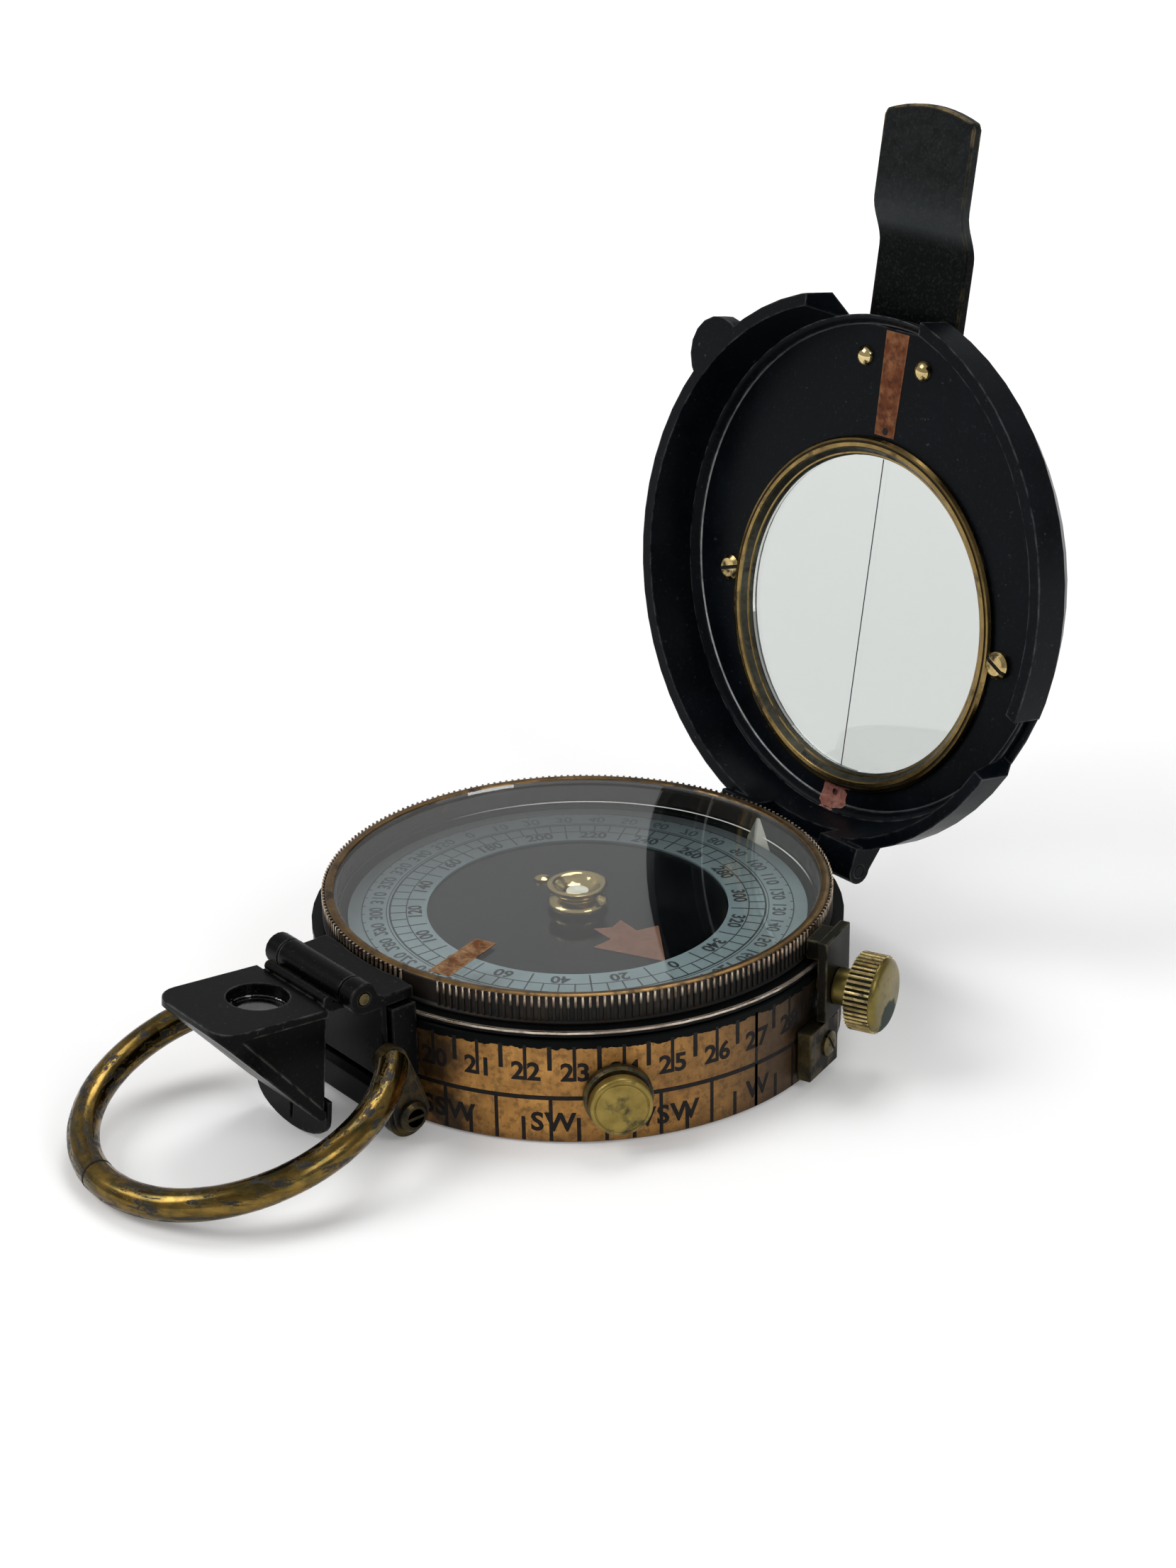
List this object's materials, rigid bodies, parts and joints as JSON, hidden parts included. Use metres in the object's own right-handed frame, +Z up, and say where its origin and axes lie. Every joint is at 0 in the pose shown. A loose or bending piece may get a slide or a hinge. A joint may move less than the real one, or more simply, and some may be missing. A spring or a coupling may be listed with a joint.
{
  "type": "magnetic compass",
  "caption": "Pocket sighting compass: round case, turning glass bezel, floating card, hinged lid with sighting window, sliding fold-over prism and thumb ring.",
  "frame": {"origin": "middle of the case's flat bottom", "axes": "+Z up through the card's pivot, +Y to the lid hinge, -Y to the prism and thumb ring, clamp screw near +X"},
  "size_m": [0.0657, 0.1134, 0.0916],
  "materials": {
    "black_enamel": "satin, worn at the edges",
    "brass": "aged",
    "band_brass": "aged, engraved and black filled",
    "bronze": "dark patina with polished highlights",
    "glass": "polished",
    "pearl": "pearl",
    "steel": "plain",
    "pale": "matte"
  },
  "bodies": {
    "case": {"case_drum": "black_enamel", "scale_band": "band_brass", "pivot_post": "steel", "index_blade": "pale", "lid_hinge_bracket": "black_enamel", "lid_hinge_pin": "brass", "prism_guide": "black_enamel", "ring_bracket": "black_enamel", "ring_screw_right": "brass", "ring_screw_left": "brass", "button_bush": "brass", "clamp_jaw": "black_enamel", "clamp_foot": "black_enamel", "lifter_bracket": "steel", "lifter_pin": "steel"},
    "bezel": {"bezel_ring": "bronze", "bezel_glass": "glass", "glass_ring": "brass"},
    "card": {"card_sheet": "black_enamel", "card_scale_ring": "pearl", "card_cap": "brass", "card_jewel": "pale", "magnet_left": "steel", "magnet_right": "steel"},
    "lid": {"lid_rim": "black_enamel", "lid_plate": "black_enamel", "window_ring": "brass", "window_glass": "glass", "window_screw_right": "brass", "window_screw_left": "brass", "tongue_rivet_right": "brass", "tongue_rivet_left": "brass", "lid_tongue": "black_enamel"},
    "slide": {"prism_slide": "black_enamel", "prism_hinge_pin": "brass"},
    "prism": {"prism_box": "black_enamel", "prism_glass": "glass", "prism_lens": "glass", "sight_plate": "black_enamel"},
    "ring": {"thumb_ring": "bronze"},
    "button": {"check_button": "brass", "brake_leaf": "steel"},
    "clamp": {"clamp_screw": "brass"},
    "lifter": {"lifter_lever": "brass"}
  },
  "joints": [
    {"name": "lid_hinge", "type": "hinge", "parent": "case", "child": "lid", "pos_m": [0, 0.0315, 0.01065], "axis": [-1, 0, 0], "range_deg": [-99.1, 75.9]},
    {"name": "bezel_turn", "type": "hinge", "parent": "case", "child": "bezel", "pos_m": [0, 0, 0.0145], "axis": [0, 0, 1], "continuous": true},
    {"name": "card_turn", "type": "hinge", "parent": "case", "child": "card", "pos_m": [0, 0, 0.0135], "axis": [0, 0, 1], "continuous": true},
    {"name": "clamp_turn", "type": "hinge", "parent": "case", "child": "clamp", "pos_m": [0.03084, 0.01309, 0.00986], "axis": [0.9205, 0.3907, 0], "range_deg": [-180, 180]},
    {"name": "button_press", "type": "slide", "parent": "case", "child": "button", "axis": [-0.8526, 0.5225, 0], "range_m": [0, 0.00045], "stiffness_N_per_m": 1500, "springref_m": -0.0004},
    {"name": "prism_focus", "type": "slide", "parent": "case", "child": "slide", "axis": [0, 0, 1], "range_m": [0, 0.0025]},
    {"name": "prism_fold", "type": "hinge", "parent": "slide", "child": "prism", "pos_m": [0, -0.0334, 0.016], "axis": [-1, 0, 0], "range_deg": [0, 174.7]},
    {"name": "ring_swing", "type": "hinge", "parent": "case", "child": "ring", "pos_m": [0, -0.0305, 0.003], "axis": [-1, 0, 0], "range_deg": [-80, 20]},
    {"name": "lifter_lift", "type": "hinge", "parent": "case", "child": "lifter", "pos_m": [0.0116, 0.02009, 0.0096], "axis": [-0.866, 0.5, 0], "range_deg": [0, 1.1]}
  ]
}
